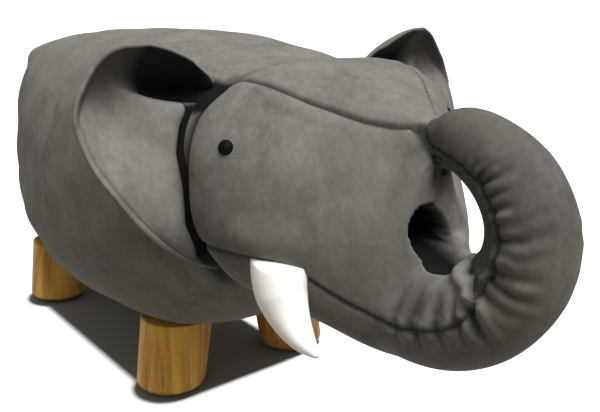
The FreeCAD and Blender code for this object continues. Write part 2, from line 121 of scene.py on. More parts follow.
def close_material(wire, **sockets):
    """The surface shader, with underscores in its socket names for spaces."""
    named = {name.replace("_", " "): value for name, value in sockets.items()}
    surface = wire.node("BsdfPrincipled", None, named)
    wire.node("OutputMaterial", None, {"Surface": surface})


def place_on(wire, scale):
    """Place on the object, in cells of a size given for each axis."""
    place = wire.node("TexCoord", out="Object")
    return wire.node("VectorMath", {"operation": "MULTIPLY"}, {0: place, 1: scale})


def noise(wire, scale, detail=3.0, roughness=0.55, distortion=0.0):
    """Cloudy value from 0 to 1; scale is cells a metre for each axis."""
    return wire.node("TexNoise", None, {
        "Vector": place_on(wire, scale), "Scale": 1.0, "Detail": detail, "Roughness": roughness,
        "Distortion": distortion})


def mix(wire, share, first, second, blend="MIX"):
    """Colour mix; share is a value or a wire."""
    return wire.node("Mix", {"data_type": "RGBA", "blend_type": blend},
                     {0: share, 6: first, 7: second}, out=2)


def bump(wire, height, depth, strength=1.0):
    return wire.node("Bump", None, {"Height": height, "Distance": depth, "Strength": strength})


def sawn_wood(name, pale, dark, along):
    """Raw wood with its grain along one axis (0, 1 or 2)."""
    material, wire = start_material(name)
    stretch = [90.0, 90.0, 90.0]
    stretch[along] = 5.0
    grain = noise(wire, tuple(stretch), 5.0, 0.62, 0.4)
    fibre = noise(wire, tuple(9 * s for s in stretch), 2.0)
    colour = mix(wire, grain, (*dark, 1.0), (*pale, 1.0))
    close_material(wire, Base_Color=colour, Roughness=0.72 + 0.15 * fibre,
                   Normal=bump(wire, fibre, 0.0003, 0.5))
    return material


def give(material, *names):
    """Puts a material on CAD pieces."""
    for name in names:
        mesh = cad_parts[name].data
        mesh.materials.clear()
        mesh.materials.append(material)


plywood = sawn_wood("plywood", (0.62, 0.47, 0.30), (0.42, 0.29, 0.16), 0)
give(plywood, "base_board", "seat_board", "rear_rib", "middle_rib", "front_rib")
give(sawn_wood("pine", (0.70, 0.53, 0.33), (0.52, 0.35, 0.18), 0), "side_rail_left", "side_rail_right")

# Fixings
# Zinc-plated steel: screws through the boards into the ribs, tee nuts in the base board, hanger
# bolts in the legs and staples round the hem. The discs nailed under the legs and the washers
# behind the eyes are moulded plastic.
zinc, wire = start_material("zinc")
scratches = noise(wire, (400.0, 400.0, 400.0), 2.0)
plating = mix(wire, scratches, (0.48, 0.48, 0.47, 1.0), (0.68, 0.68, 0.66, 1.0))
close_material(wire, Base_Color=plating, Metallic=1.0, Roughness=0.28 + 0.2 * scratches)
give(zinc, "frame_screws", "tee_nuts", "hanger_bolts", "cover_staples")

moulded, wire = start_material("moulded_plastic")
grain = noise(wire, (900.0, 900.0, 900.0), 2.0)
close_material(wire, Base_Color=mix(wire, grain, (0.030, 0.030, 0.030, 1.0), (0.055, 0.054, 0.052, 1.0)),
               Roughness=0.5 + 0.15 * grain, Normal=bump(wire, grain, 0.0001, 0.4))
give(moulded, "foot_glides")

washer, wire = start_material("washer_plastic")
grain = noise(wire, (700.0, 700.0, 700.0), 2.0)
close_material(wire, Base_Color=mix(wire, grain, (0.70, 0.70, 0.66, 1.0), (0.78, 0.78, 0.75, 1.0)),
               Roughness=0.45 + 0.1 * grain)
give(washer, "eye_washer_left", "eye_washer_right")

# Legs
# Turned from solid hardwood with the grain upright, stained honey brown and wiped with a satin
# finish; screwed up into the tee nuts.
leg_finish, wire = start_material("leg_wood")
streaks = noise(wire, (150.0, 150.0, 4.0), 4.0, 0.6, 0.3)
bands = noise(wire, (38.0, 38.0, 2.0), 3.0, 0.5, 0.8)
pores = noise(wire, (1100.0, 1100.0, 40.0), 2.0, 0.5)
brown = wire.node("ValToRGB", {"stops": [(0.40, (0.30, 0.125, 0.012)), (0.60, (0.74, 0.380, 0.060)),
                                         (0.50, (0.52, 0.240, 0.028))]}, {0: bands})
stained = mix(wire, (2.6 * (streaks - 0.40)).clamp(0.0, 0.75), brown, (0.86, 0.540, 0.150, 1.0))
pitted = mix(wire, (1.6 * (0.42 - pores)).clamp(), stained, (0.10, 0.04, 0.01, 1.0))
close_material(wire, Base_Color=pitted, Roughness=0.42 + 0.2 * streaks, Specular_IOR_Level=0.15,
               Coat_Weight=0.04, Coat_Roughness=0.3, Normal=bump(wire, pores, 0.0002, 0.35))
give(leg_finish, "leg_front_left", "leg_front_right", "leg_rear_left", "leg_rear_right")

# Sewn cover
# Six panels of short-pile suede cloth sewn inside out and filled: the back, which runs on over
# the forehead, the rump, two cheeks, the chin with the trunk, and the trunk's gathered strip.
rump, neck, hem = -354.5, 106.5, 73.9
body_length, body_half, seat, under = 461.0, 144.0, 333.0, 73.0
head_length, head_half = 150.0, 126.0
neck_half, neck_top, neck_bottom, neck_waist = 106.0, 318.0, 136.0, 232.0


def curve_through(places, values, at):
    """Smooth curve through rows of values, read at new places."""
    x, y, at = np.asarray(places, float), np.asarray(values, float), np.asarray(at, float)
    n, h = len(x), np.diff(x)
    system, right = np.eye(n), np.zeros_like(y)
    for i in range(1, n - 1):
        system[i, i - 1:i + 2] = h[i - 1], 2 * (h[i - 1] + h[i]), h[i]
        right[i] = 6 * ((y[i + 1] - y[i]) / h[i] - (y[i] - y[i - 1]) / h[i - 1])
    bend = np.linalg.solve(system, right)
    i = np.clip(np.searchsorted(x, at) - 1, 0, n - 2)
    a, b, step = (x[i + 1] - at)[:, None], (at - x[i])[:, None], h[i][:, None]
    curved = (bend[i] * a ** 3 + bend[i + 1] * b ** 3) / (6 * step)
    return curved + (y[i] / step - bend[i] * step / 6) * a + (y[i + 1] / step - bend[i + 1] * step / 6) * b


def section(half, rise, drop, upper, lower, count=120):
    """Rounded section about its waist, as rows of across and up."""
    turn = np.linspace(0, 2 * np.pi, count, endpoint=False)
    across, upward = np.cos(turn), np.sin(turn)
    power = np.where(upward > 0, upper, lower)
    height = np.where(upward > 0, rise, drop)
    return np.stack([half * np.sign(across) * abs(across) ** (2 / power),
                     height * np.sign(upward) * abs(upward) ** (2 / power)], 1)


def loft(rings):
    """Closed skin over rings of equal length, with a fan at each end."""
    points = np.concatenate([*rings, rings[0].mean(0)[None], rings[-1].mean(0)[None]])
    count, size = len(rings), len(rings[0])
    faces = []
    for r in range(count - 1):
        for i in range(size):
            j = (i + 1) % size
            faces.append((r * size + i, r * size + j, (r + 1) * size + j, (r + 1) * size + i))
    first, last = count * size, count * size + 1
    for i in range(size):
        j = (i + 1) % size
        faces.append((j, i, first))
        faces.append(((count - 1) * size + i, (count - 1) * size + j, last))
    return points, faces


def upright_rings(table, places):
    """Rings square to the length from rows of x, half width, top, bottom, waist and two powers."""
    table = np.asarray(table, float)
    rows = curve_through(table[:, 0], table[:, 1:], places)
    rings = []
    for x, (half, top, bottom, waist, upper, lower) in zip(places, rows):
        flat = section(half, top - waist, waist - bottom, upper, lower)
        rings.append(np.column_stack([np.full(len(flat), x), flat[:, 0], waist + flat[:, 1]]))
    return rings


neck_row = [neck, neck_half, neck_top, neck_bottom, neck_waist, 2.5, 2.2]
body_shares = [
    # along, half width, top, bottom, and the roundness above and below the waist
    (0.018, 0.630, 0.920, 0.96, 2.9, 2.6), (0.075, 0.705, 0.943, 0.78, 2.8, 2.6),
    (0.170, 0.800, 0.962, 0.70, 2.7, 2.6), (0.300, 0.900, 0.978, 0.68, 2.5, 2.5),
    (0.473, 0.980, 0.993, 0.68, 2.4, 2.5), (0.646, 1.000, 0.998, 0.70, 2.4, 2.4),
    (0.777, 0.960, 0.993, 0.78, 2.4, 2.4), (0.874, 0.885, 0.977, 1.08, 2.4, 2.4),
    (0.952, 0.790, 0.962, 1.50, 2.4, 2.3)]
rump_waist = 160
body_rows = []
for along, wide, top, bottom, upper, lower in body_shares:
    waist = rump_waist + (neck_waist - rump_waist) * max(along - 0.5, 0) / 0.5
    body_rows.append([rump + along * body_length, wide * body_half, top * seat, bottom * under,
                      waist, upper, lower])
body_rows.append(neck_row)
seam_x = body_rows[0][0]
body_rings = upright_rings(body_rows, np.linspace(seam_x, neck, 110))
rump_rings = []
for back, share in ((8.3, 0.10), (8.0, 0.45), (6.6, 0.74), (4.0, 0.92)):
    ring = body_rings[0].copy()
    middle = ring.mean(0)
    ring = middle + (ring - middle) * share
    ring[:, 0] = seam_x - back
    rump_rings.append(ring)
end_ring = body_rings[-1] * [1, 0.9, 1] + [6, 0, 0]
end_ring[:, 2] = neck_waist + (end_ring[:, 2] - neck_waist) * 0.9
body_skin = loft(rump_rings + body_rings + [end_ring])

head_shares = [
    # along, half width, top, bottom, waist, and the roundness above and below the waist
    (0.05, 0.940, 1.008, 0.440, 0.750, 2.6, 2.2), (0.14, 1.010, 1.012, 0.425, 0.755, 2.6, 2.2),
    (0.28, 0.985, 1.006, 0.405, 0.740, 2.4, 2.1), (0.44, 0.865, 0.990, 0.380, 0.710, 2.2, 2.0),
    (0.60, 0.705, 0.968, 0.355, 0.680, 1.9, 2.0), (0.76, 0.515, 0.942, 0.335, 0.640, 1.7, 2.0),
    (0.88, 0.350, 0.915, 0.338, 0.620, 1.7, 2.0), (0.96, 0.225, 0.885, 0.370, 0.610, 1.8, 2.0),
    (1.00, 0.120, 0.835, 0.430, 0.610, 2.0, 2.0)]
head_rows = [neck_row]
for along, wide, top, bottom, waist, upper, lower in head_shares:
    head_rows.append([neck + along * head_length, wide * head_half, top * neck_top, bottom * neck_top,
                      waist * neck_top, upper, lower])
head_rings = upright_rings(head_rows, np.linspace(neck, neck + head_length, 60))
for ring in head_rings:  # the left cheek is filled less towards the trunk
    along = (ring[0, 0] - neck) / head_length
    slack = np.interp(along, [0.45, 0.64, 0.76, 0.88, 0.96], [0.0, 0.08, 0.18, 0.24, 0.29])
    slack = slack * np.interp(ring[:, 2], [203, 215, 235, 256, 278], [-0.3, 0.2, 1.2, 1.8, 1.1])
    ring[:, 1] *= 1 - np.where(ring[:, 1] > 0, slack, 0)
head_skin = loft(head_rings)


def curl(shares, middle, half_width, half_height, thickness, count):
    """Line through rows of ahead, up and radius; gives points with radii, directions and distances."""
    knots = np.array([(middle[0] + a * half_width, middle[1] + u * half_height, r * thickness)
                      for a, u, r in shares])
    run = np.concatenate([[0], np.cumsum(np.hypot(*np.diff(knots[:, :2], axis=0).T))])
    distance = np.linspace(0, run[-1], count)
    line = curve_through(run, knots, distance)
    way = np.gradient(line[:, :2], axis=0)
    return line, way / np.linalg.norm(way, axis=1)[:, None], distance


def ring_square_to(place, way, flat, across=0.0):
    """A section set square to a curl's line."""
    return np.column_stack([place[0] + way[1] * flat[:, 1], across + flat[:, 0], place[1] - way[0] * flat[:, 1]])


trunk_shares = [
    # ahead, up, radius
    (-1.30, -0.88, 1.00), (-0.54, -0.985, 0.89), (0.15, -0.864, 0.83), (0.67, -0.561, 0.74),
    (0.98, -0.136, 0.67), (0.98, 0.318, 0.63), (0.69, 0.682, 0.585), (0.27, 0.894, 0.53),
    (-0.15, 0.975, 0.44), (-0.46, 0.965, 0.28)]
curl_x, curl_z, curl_half_width, curl_half_height, trunk_root = neck + 164.1, 215.0, 53.0, 66.0, 46.0
trunk_line, trunk_way, trunk_run = curl(
    trunk_shares, (curl_x, curl_z), curl_half_width, curl_half_height, trunk_root, 241)
trunk_rings = []
for place, way in zip(trunk_line[::3], trunk_way[::3]):
    trunk_rings.append(ring_square_to(place, way, section(place[2], place[2], place[2], 2.0, 2.0, 72)))
trunk_skin = loft(trunk_rings)


def one_skin(skins, voxel):
    """Joins closed skins into one even skin of quads; sizes in millimetres."""
    points, faces, start = [], [], 0
    for skin_points, skin_faces in skins:
        points.append(skin_points)
        faces += [tuple(start + i for i in face) for face in skin_faces]
        start += len(skin_points)
    mesh = bpy.data.meshes.new("joined")
    mesh.from_pydata((np.concatenate(points) / 1000).tolist(), [], faces)
    piece = bpy.data.objects.new("joined", mesh)
    bpy.context.scene.collection.objects.link(piece)
    remesh = piece.modifiers.new("remesh", "REMESH")
    remesh.mode, remesh.voxel_size, remesh.adaptivity = "VOXEL", voxel / 1000, 0.0
    bpy.context.view_layer.update()
    even = bpy.data.meshes.new_from_object(piece.evaluated_get(bpy.context.evaluated_depsgraph_get()))
    points = np.empty(len(even.vertices) * 3)
    even.vertices.foreach_get("co", points)
    quads = np.array([p.vertices[:] for p in even.polygons if len(p.vertices) == 4])
    bpy.data.objects.remove(piece)
    bpy.data.meshes.remove(mesh)
    bpy.data.meshes.remove(even)
    return points.reshape(-1, 3) * 1000, quads


def relax(points, quads, share, steps):
    """Moves each point towards the middle of its neighbours, by a share for each point."""
    one = np.concatenate([quads[:, i] for i in range(4)])
    two = np.concatenate([quads[:, (i + 1) % 4] for i in range(4)])
    count = np.bincount(one, minlength=len(points)) + np.bincount(two, minlength=len(points))
    share = np.broadcast_to(share, len(points))[:, None]
    for step in range(steps):
        total = np.stack([np.bincount(one, points[two, k], len(points))
                          + np.bincount(two, points[one, k], len(points)) for k in range(3)], 1)
        points = points + share * (total / np.maximum(count, 1)[:, None] - points)
    return points


def outward(points, quads):
    """Unit normals of a skin."""
    cross = np.cross(points[quads[:, 2]] - points[quads[:, 0]], points[quads[:, 3]] - points[quads[:, 1]])
    total = np.stack([sum(np.bincount(quads[:, i], cross[:, k], len(points)) for i in range(4))
                      for k in range(3)], 1)
    return total / np.maximum(np.linalg.norm(total, axis=1), 1e-9)[:, None]


def hill(distance, reach):
    """1 at no distance, falling smoothly to 0 at the reach."""
    near = np.clip(1 - np.abs(distance) / reach, 0, 1)
    return near * near * (3 - 2 * near)


def near_line(p, line):
    """Distance from points to a line of corners, and the share of the line at the nearest place."""
    line = np.asarray(line, float)
    best, place = np.full(len(p), 1e9), np.zeros(len(p))
    for i in range(len(line) - 1):
        start, way = line[i], line[i + 1] - line[i]
        share = np.clip((p - start) @ way / (way @ way), 0, 1)
        gap = np.linalg.norm(p - start - share[:, None] * way, axis=1)
        closer = gap < best
        place = np.where(closer, (i + share) / (len(line) - 1), place)
        best = np.where(closer, gap, best)
    return best, place


points, quads = one_skin([body_skin, head_skin, trunk_skin], voxel=2.0)
points[:, 2] = np.maximum(points[:, 2], hem)
points = relax(points, quads, 0.5, 4)
ahead, side, level = points[:, 0] - neck, np.abs(points[:, 1]), points[:, 2]

# The forehead runs smoothly on from the back: the neck's dip is filled over the top only.
over_neck = hill(ahead, 45) * np.clip((level - 285) / 20, 0, 1)
points = relax(points, quads, 0.9 * over_neck, 90)

# At the rump the sides lean in and the top corners stand out.
rump_near = hill(points[:, 0] - seam_x, 120)
lean = np.interp(level, [160, 203, 225, 251, 263, 275, 290, 304], [0, -3, -5, -5, -4, -2, 0, 0])
corner = hill(np.hypot(side - 54, level - 295), 30) * rump_near
points[:, 1] += np.sign(points[:, 1]) * (lean * rump_near * np.clip(side / 60, 0, 1) + 7 * corner)
points[:, 2] += 3 * corner

# On the sides the neck is drawn in deep, and the cheeks stand out over it.
flank = np.clip((side - 62) / 20, 0, 1)
drawn_in = 6.0 + 8.0 * np.clip((level - 152) / 20, 0, 1) * np.clip((316 - level) / 18, 0, 1)
points[:, 1] -= np.sign(points[:, 1]) * drawn_in * hill(ahead - 4, 20) * flank
points[:, 1] -= np.sign(points[:, 1]) * 8.0 * hill(ahead - 10, 20) * np.clip((206 - level) / 24, 0, 1) * flank
points[:, 1] += np.sign(points[:, 1]) * 2.0 * hill(ahead - 30, 26) * flank
over_tusk = hill(ahead - 72, 40) * hill(level - 204, 26)
over_tusk = over_tusk * np.clip((level - 187 + 0.08 * (ahead - 60)) / 4, 0, 1) * flank
points[:, 1] += np.sign(points[:, 1]) * 5.0 * over_tusk

# The cheeks meet the root of the trunk softly, and swell a little over it.
root = hill(np.hypot(ahead - 140, level - 172), 62) * (ahead > 60)
points = relax(points, quads, 0.8 * root, 38)
normals = outward(points, quads)
swell = hill(np.linalg.norm(points - [neck + 156, 21, 186], axis=1), 26) * 6.0
swell += hill(np.linalg.norm(points - [neck + 158, -25, 182], axis=1), 24) * 3.0
for across in (-14, 14):
    swell += hill(np.linalg.norm(points - [neck + 133, across, 276], axis=1), 18) * 5.0
points = points + normals * swell[:, None]
tip = hill(np.hypot(points[:, 0] - neck - 142, points[:, 2] - 274), 28)
points = relax(points, quads, 0.8 * tip, 18)

# Between the cheeks a narrow hollow runs back from the opening of the curl; the face is flat
# round it, and its far lip is lower than the near one.
hollow_depth, gutter_depth = 46, 17
ahead, level = points[:, 0] - neck, points[:, 2]
cap = 142.5 - 5 * hill(points[:, 1] - 4, 15) + 3 * np.maximum(205 - level, 0)
cap = cap + np.interp(level, [230, 258, 266, 274], [0, 1, 6, 60])
points[:, 0] -= np.where(ahead < 160, np.maximum(ahead - cap, 0), 0)
points = relax(points, quads, 0.7 * hill(ahead - 146, 20) * hill(level - 228, 32), 6)
slant = points[:, 1] + 9 + 0.3 * (points[:, 2] - 212)
hollow = np.clip(1 - (slant / 20) ** 2 - ((points[:, 2] - 209) / 24) ** 2, 0, 1) ** 0.5
hollow = hollow * np.clip((points[:, 0] - neck - 92) / 18, 0, 1) * (points[:, 0] < neck + 151)
points[:, 0] -= hollow_depth * hollow
gutter = np.clip(1 - ((points[:, 1] + 5) / 17) ** 2, 0, 1) * hill(points[:, 0] - neck - 146, 36)
gutter = gutter * (points[:, 2] > 172) * (points[:, 2] < 212)
points[:, 2] -= gutter_depth * gutter
points = relax(points, quads, 0.5 * np.minimum(1, 3 * (hollow + gutter)), 5)

# Trunk: distance along its line and turn round it, 0 on the inner side of the curl. Above the
# throat the face ends short of the trunk's tip.
throat = 214


def face_front(level):
    """How far ahead of the neck the face ends, at a height."""
    return np.interp(level, [throat, 250, 258, 266, 274, 283, 292, 302],
                     [158, 156, 152, 147, 142, 136, 134, 134])


nearest = np.zeros(len(points), int)
for start in range(0, len(points), 20000):
    part = points[start:start + 20000]
    gap = (part[:, None, 0] - trunk_line[None, :, 0]) ** 2 + (part[:, None, 2] - trunk_line[None, :, 1]) ** 2
    nearest[start:start + 20000] = gap.argmin(1)
spot, way, radius = trunk_line[nearest, :2], trunk_way[nearest], trunk_line[nearest, 2]
inward = -((points[:, 0] - spot[:, 0]) * way[:, 1] - (points[:, 2] - spot[:, 1]) * way[:, 0])
along = trunk_run[nearest]
past_face = points[:, 0] - neck - face_front(points[:, 2]) > 0
past_face = past_face | (points[:, 2] < throat) & (points[:, 0] > neck + 128)
on_trunk = (np.hypot(inward, points[:, 1]) < 1.4 * radius) & past_face
turn = np.arctan2(np.abs(points[:, 1]), inward)
strip_turn = np.interp(along, [0, trunk_run[-1] - 60, trunk_run[-1]], [1.45, 1.42, 1.15])
from_strip = (turn - strip_turn) * radius

# Soft unevenness of filled cloth.
drift = np.zeros(len(points))
for i in range(9):
    way_x, way_y, way_z = np.sin(i * 2.4 + 0.3), np.sin(i * 1.7 + 1.1), np.cos(i * 3.1)
    length = 55 + 13 * i
    drift += np.sin(2 * np.pi * (points @ [way_x, way_y, way_z]) / length + i * 1.9) * 0.0036 * length
drift = drift * np.interp(points[:, 0] - neck, [-40, 60, 150], [1.0, 0.6, 0.25])
points = points + outward(points, quads) * (drift * (points[:, 2] > hem + 3))[:, None]

# Gathers: the trunk's broad panel is drawn up on the strip's seams in sharp pleats, and the
# cheeks are drawn up on the chin seam. Both sides have them, the left ones a little further round.
pleats = [
    # depth, width, and the line from the seam outwards: ahead of the neck, across, height
    (3.4, 4.6, [(189, -25, 258), (192, -26, 262), (199, -26, 272), (206, -22, 277)]),
    (3.6, 4.8, [(195, -26, 257), (197, -27, 260), (207, -26, 268), (214, -19, 276)]),
    (3.0, 4.2, [(199, -26, 252), (202, -27, 253), (209, -27, 257), (215, -26, 261)]),
    (3.0, 4.0, [(205, -27, 246), (208, -27, 247), (215, -27, 251), (219, -26, 253)]),
    (3.0, 4.2, [(208, -27, 236), (211, -27, 237), (223, -26, 240), (229, -23, 242)]),
    (3.8, 5.0, [(211, -28, 228), (214, -28, 229), (227, -26, 232), (240, -14, 238)]),
    (2.6, 3.6, [(212, -28, 221), (215, -28, 222), (221, -28, 223), (226, -27, 223)]),
    (3.2, 5.0, [(212, -30, 211), (215, -30, 210), (225, -29, 208), (240, -21, 209)]),
    (3.6, 5.0, [(211, -31, 205), (214, -31, 203), (226, -29, 197), (240, -19, 192)]),
    (5.0, 6.0, [(180, -14, 202), (184, -19, 200), (193, -26, 200), (211, -32, 193), (231, -23, 182)]),
    (4.2, 5.4, [(200, -34, 180), (203, -35, 175), (208, -32, 166), (213, -25, 156)]),
    (2.2, 4.6, [(193, -35, 168), (195, -35, 163), (198, -32, 154)]),
    (2.2, 4.6, [(178, -36, 158), (181, -36, 152), (184, -34, 144)]),
    (2.2, 4.6, [(160, -38, 152), (162, -38, 146), (165, -35, 137)]),
    (1.8, 4.6, [(143, -39, 149), (143, -38, 142), (145, -36, 134)]),
    (1.8, 4.2, [(187, -27, 266), (190, -26, 271), (192, -23, 276)]),
    (1.6, 3.8, [(178, -24, 263), (181, -24, 268), (183, -21, 273)]),
    (1.4, 3.6, [(168, -21, 268), (170, -21, 273), (171, -18, 277)])]
soft_folds = [
    (1.7, 7.0, [(155, -39, 156), (158, -37, 170), (160, -25, 187)]),
    (1.7, 6.0, [(175, -38, 163), (175, -36, 175), (171, -27, 187)]),
    (1.5, 6.0, [(192, -36, 171), (188, -34, 181), (179, -25, 192)]),
    (1.4, 8.0, [(142, -40, 156), (145, -37, 171), (148, -27, 186)])]
normals = outward(points, quads)
sunk, shade = np.zeros(len(points)), np.zeros(len(points))
for sign, tilt in ((-1, 0.0), (1, 0.07)):
    across, upward = points[:, 0] - curl_x, points[:, 2] - curl_z
    turned = np.column_stack([
        curl_x - neck + across * math.cos(tilt) - upward * math.sin(tilt), -np.abs(points[:, 1]),
        curl_z + across * math.sin(tilt) + upward * math.cos(tilt)])
    this_side = np.clip(0.5 + sign * points[:, 1] / 4, 0, 1)
    for depth, width, line in pleats + soft_folds:
        gap, share = near_line(turned, line)
        fade = np.clip(1.04 - share, 0, 1) ** 0.8 * this_side
        sharp = np.clip(1 - gap / width, 0, 1) ** 1.5
        sunk += 1.5 * depth * fade * (sharp - 0.45 * hill(gap - 1.55 * width, width))
        # Painted shade along each pleat.
        darkness = np.clip(1.5 * fade * np.clip(1 - gap / (0.72 * width), 0, 1), 0, 1)
        shade = np.maximum(shade, darkness * min(1, depth / 3.2))

# A crease runs round the trunk's tip, where it meets the forehead's tongue. The gathers stop short
# of the strip.
tongue_tip, tongue_round = 141, 0.035
tip_crease = [(133, -15, 284), (137, -16, 280), (141, -15, 273), (147, -12, 265), (151, -7, 259)]
on_right = np.column_stack([points[:, 0] - neck, -np.abs(points[:, 1]), points[:, 2]])
gap, _ = near_line(on_right, tip_crease)
near_side = np.clip((12 - points[:, 1]) / 8, 0, 1)
crease_depth, crown_depth = 3.5, 2.6
sunk += crease_depth * hill(gap, 6.5) * near_side
# Painted shade in the crease and along the tongue's end.
shade = np.maximum(shade, np.clip(1.15 - gap / 6.0, 0, 1) * near_side)
crown = hill(points[:, 0] - neck + tongue_round * points[:, 1] ** 2 - tongue_tip, 4.2)
crown = crown * np.clip((points[:, 2] - 272) / 4, 0, 1) * np.clip((points[:, 1] + 18) / 4, 0, 1) * near_side
sunk += crown_depth * crown
shade = np.maximum(shade, 0.9 * crown)
calm = np.where(on_trunk & (points[:, 2] > 205), np.clip(1 + from_strip / 8, 0, 1), 1.0)
points = points - normals * (sunk * calm)[:, None]
shade = shade * calm

# Seams: where a measure over the skin is 0. The forehead's runs out in its tongue over the trunk's
# tip, the chin's under the tusk and round the root of the trunk.
forehead_edge = np.array([
    # ahead of the neck, across
    (-4, 84), (0, 83.5), (19, 81), (32, 77.5), (44, 72.6), (55, 68), (65.5, 62.5), (74, 57), (83, 50),
    (94, 43), (104, 36), (114, 27.5), (122, 21), (130, 16.0), (135, 15), (142, 14)])
chin_edge = np.array([
    # ahead of the neck, height
    (0, 196), (30, 195), (63, 192), (79, 190), (91, 184), (103, 172), (115, 160), (126, 151.5),
    (141, 148.5), (159, 152), (178, 158), (191, 166), (198, 174.5), (205, 186)])


def seams(p):
    """Signed distances: past the rump seam and the neck, inside the forehead, above the chin seam."""
    ahead = p[:, 0] - neck
    forehead = np.interp(ahead, forehead_edge[:, 0], forehead_edge[:, 1]) - np.abs(p[:, 1])
    tongue_end = 0.75 * (tongue_tip - tongue_round * np.minimum(p[:, 1] ** 2, 256) - ahead)
    forehead = np.minimum(forehead, np.minimum(tongue_end, p[:, 2] - 245))
    chin = (p[:, 2] - np.interp(ahead, chin_edge[:, 0], chin_edge[:, 1])) * 0.8
    return p[:, 0] - seam_x, ahead, forehead, chin


def cheek_end(p):
    """Signed distance behind the line where the cheeks end on the trunk."""
    return np.interp(p[:, 2], [150, 174, 187, 200, 212], [205, 200, 205, 190, 168]) - (p[:, 0] - neck)


rump_side, ahead, forehead, chin = seams(points)
face_end = cheek_end(points)
lower = (points[:, 2] < throat) & (ahead > 8)
strip_near = on_trunk & ((face_end < 0) | (points[:, 2] > throat))
groove = hill(rump_side, 5.0)
groove = np.maximum(groove, hill(forehead, 3.2) * (ahead > -5) * (points[:, 2] > 248))
groove = np.maximum(groove, hill(chin, 3.8) * lower * (face_end > -2))
cheek_groove = hill(face_end, 3.6) * lower * (chin > 0) * (points[:, 2] > 172) * (side < 36) * 0.8
groove = np.maximum(groove, cheek_groove)
groove = np.maximum(groove, hill(from_strip, 3.4) * strip_near)
groove_depth, puff_height = 1.9, 0.7
normals = outward(points, quads)
puff = puff_height * (hill(forehead + 8, 7) + hill(forehead - 8, 7))
puff = puff * (ahead > 6) * (points[:, 2] > 240) * (ahead < 128)
points = points + normals * (puff - groove_depth * groove)[:, None]

# Painted shade: near-black where no light reaches, in the neck crease, on the skin inside the pocket of each ear,
# on the face inside the curl, in the hollow and its gutter; lighter painted shade in the seam grooves, the pleats
# and the crease round the trunk's tip, and over the trunk's strip.
neck_crease = np.interp(ahead, [-17, -11, 5, 13], [0, 1, 1, 0]) * flank * np.clip((314 - points[:, 2]) / 5, 0, 1)
pocket = np.clip((ahead + 40) / 8, 0, 1) * np.clip((9 - ahead) / 6, 0, 1)
pocket = pocket * np.clip((points[:, 2] - 280) / 5, 0, 1)
pocket = pocket * np.clip((309 - points[:, 2]) / 4, 0, 1) * np.clip((side - 70) / 6, 0, 1)
dark_seam = np.maximum(np.maximum(0.85 * groove, 0.92 * shade), np.maximum(neck_crease, pocket))
inside = np.clip((138 - ahead) / 5, 0, 1) * (ahead > 80) * np.clip((27 - np.abs(points[:, 1] + 6)) / 4, 0, 1)
inside = inside * np.clip((points[:, 2] - 180) / 4, 0, 1) * np.clip((240 - points[:, 2]) / 4, 0, 1)
dark_seam = np.maximum(dark_seam, np.maximum(inside, np.clip(3 * hollow - 0.3, 0, 1)))
dark_seam = np.maximum(dark_seam, np.clip(2.2 * gutter - 0.2, 0, 1))
dark_seam = np.maximum(dark_seam, 0.45 * (strip_near & (from_strip < 0)))
stitch = np.maximum(hill(from_strip + 3.4, 1.8), hill(from_strip + 11.0, 1.6) * 0.6) * strip_near
# Painted light and shade as a tone over the cloth: the trunk lighter low down and darker high up, the head a little
# darker some 40 mm ahead of the neck, the chin panel darker, and a painted pool of light low on the right side of
# the trunk's curl.
trunk_tone = np.interp(points[:, 2], [160, 240], [1.15, 0.60])
body_tone = np.interp(ahead, [0, 40, 120], [1.0, 0.92, 1.0])
nap_tone = np.where(on_trunk & ((face_end < 0) | (points[:, 2] > throat)), trunk_tone, body_tone)
nap_tone = np.where((chin < 0) & (points[:, 2] < throat) & (ahead > 0), 0.9, nap_tone)
nap_tone += 0.45 * hill(np.linalg.norm(points - [neck + 165, -30, 180], axis=1), 36)


def panel_of(p, strip):
    """Number of the panel that each point lies on."""
    rump_side, ahead, forehead, chin = seams(p)
    over_trunk = strip | (ahead > 138) & (cheek_end(p) < 0)
    over_trunk = over_trunk | (ahead > face_front(p[:, 2])) & (p[:, 2] > throat)
    trunk_part = over_trunk | (chin < 0) & (p[:, 2] < throat)
    panel = np.where(trunk_part, 4, np.where(p[:, 1] < 0, 3, 2))
    panel = np.where(strip, 5, panel)
    panel = np.where((ahead < 0) | (forehead > 0) & ~over_trunk, 1, panel)
    return np.where(rump_side < 0, 0, panel)


cover_cloth, wire = start_material("cover_cloth")
nap = noise(wire, (1500.0, 1500.0, 1500.0), 3.0, 0.6)
brushed = noise(wire, (190.0, 190.0, 120.0), 4.0, 0.65, 0.4)
mottle = noise(wire, (36.0, 36.0, 28.0), 5.0, 0.62, 0.5)
broad = noise(wire, (9.0, 9.0, 9.0), 2.0, 0.5, 0.3)
# Painted shade from one point value darkens the cloth to near-black; a second lightens it, as pale topstitching on
# the cover and as a painted highlight on the ears' rims; a third scales the colour as painted light and shade over
# regions.
shadow = wire.node("Attribute", {"attribute_name": "seam"}, None, "Fac")
pale_thread_and_highlight = wire.node("Attribute", {"attribute_name": "stitch"}, None, "Fac")
tone = wire.node("Attribute", {"attribute_name": "tone"}, None, "Fac")
patches = (0.45 * mottle + 0.30 * brushed + 0.15 * nap + 0.10 * broad)
cloth = wire.node("ValToRGB", {"stops": [(0.38, (0.098, 0.092, 0.083)), (0.62, (0.190, 0.180, 0.168)),
                                         (0.50, (0.142, 0.134, 0.123))]}, {0: patches})
warm = mix(wire, (1.6 * (broad - 0.42)).clamp(0.0, 0.5), cloth, (0.150, 0.137, 0.112, 1.0))
toned = mix(wire, tone, (0.0, 0.0, 0.0, 1.0), warm)
with_thread_and_highlight = mix(wire, 0.4 * pale_thread_and_highlight, toned, (0.22, 0.21, 0.19, 1.0))
shaded = mix(wire, shadow, with_thread_and_highlight, (0.0025, 0.0025, 0.002, 1.0))
close_material(wire, Base_Color=shaded, Roughness=0.86 + 0.1 * nap, Specular_IOR_Level=0.2,
               Normal=bump(wire, 0.5 * nap + 0.5 * brushed, 0.0006, 0.45))


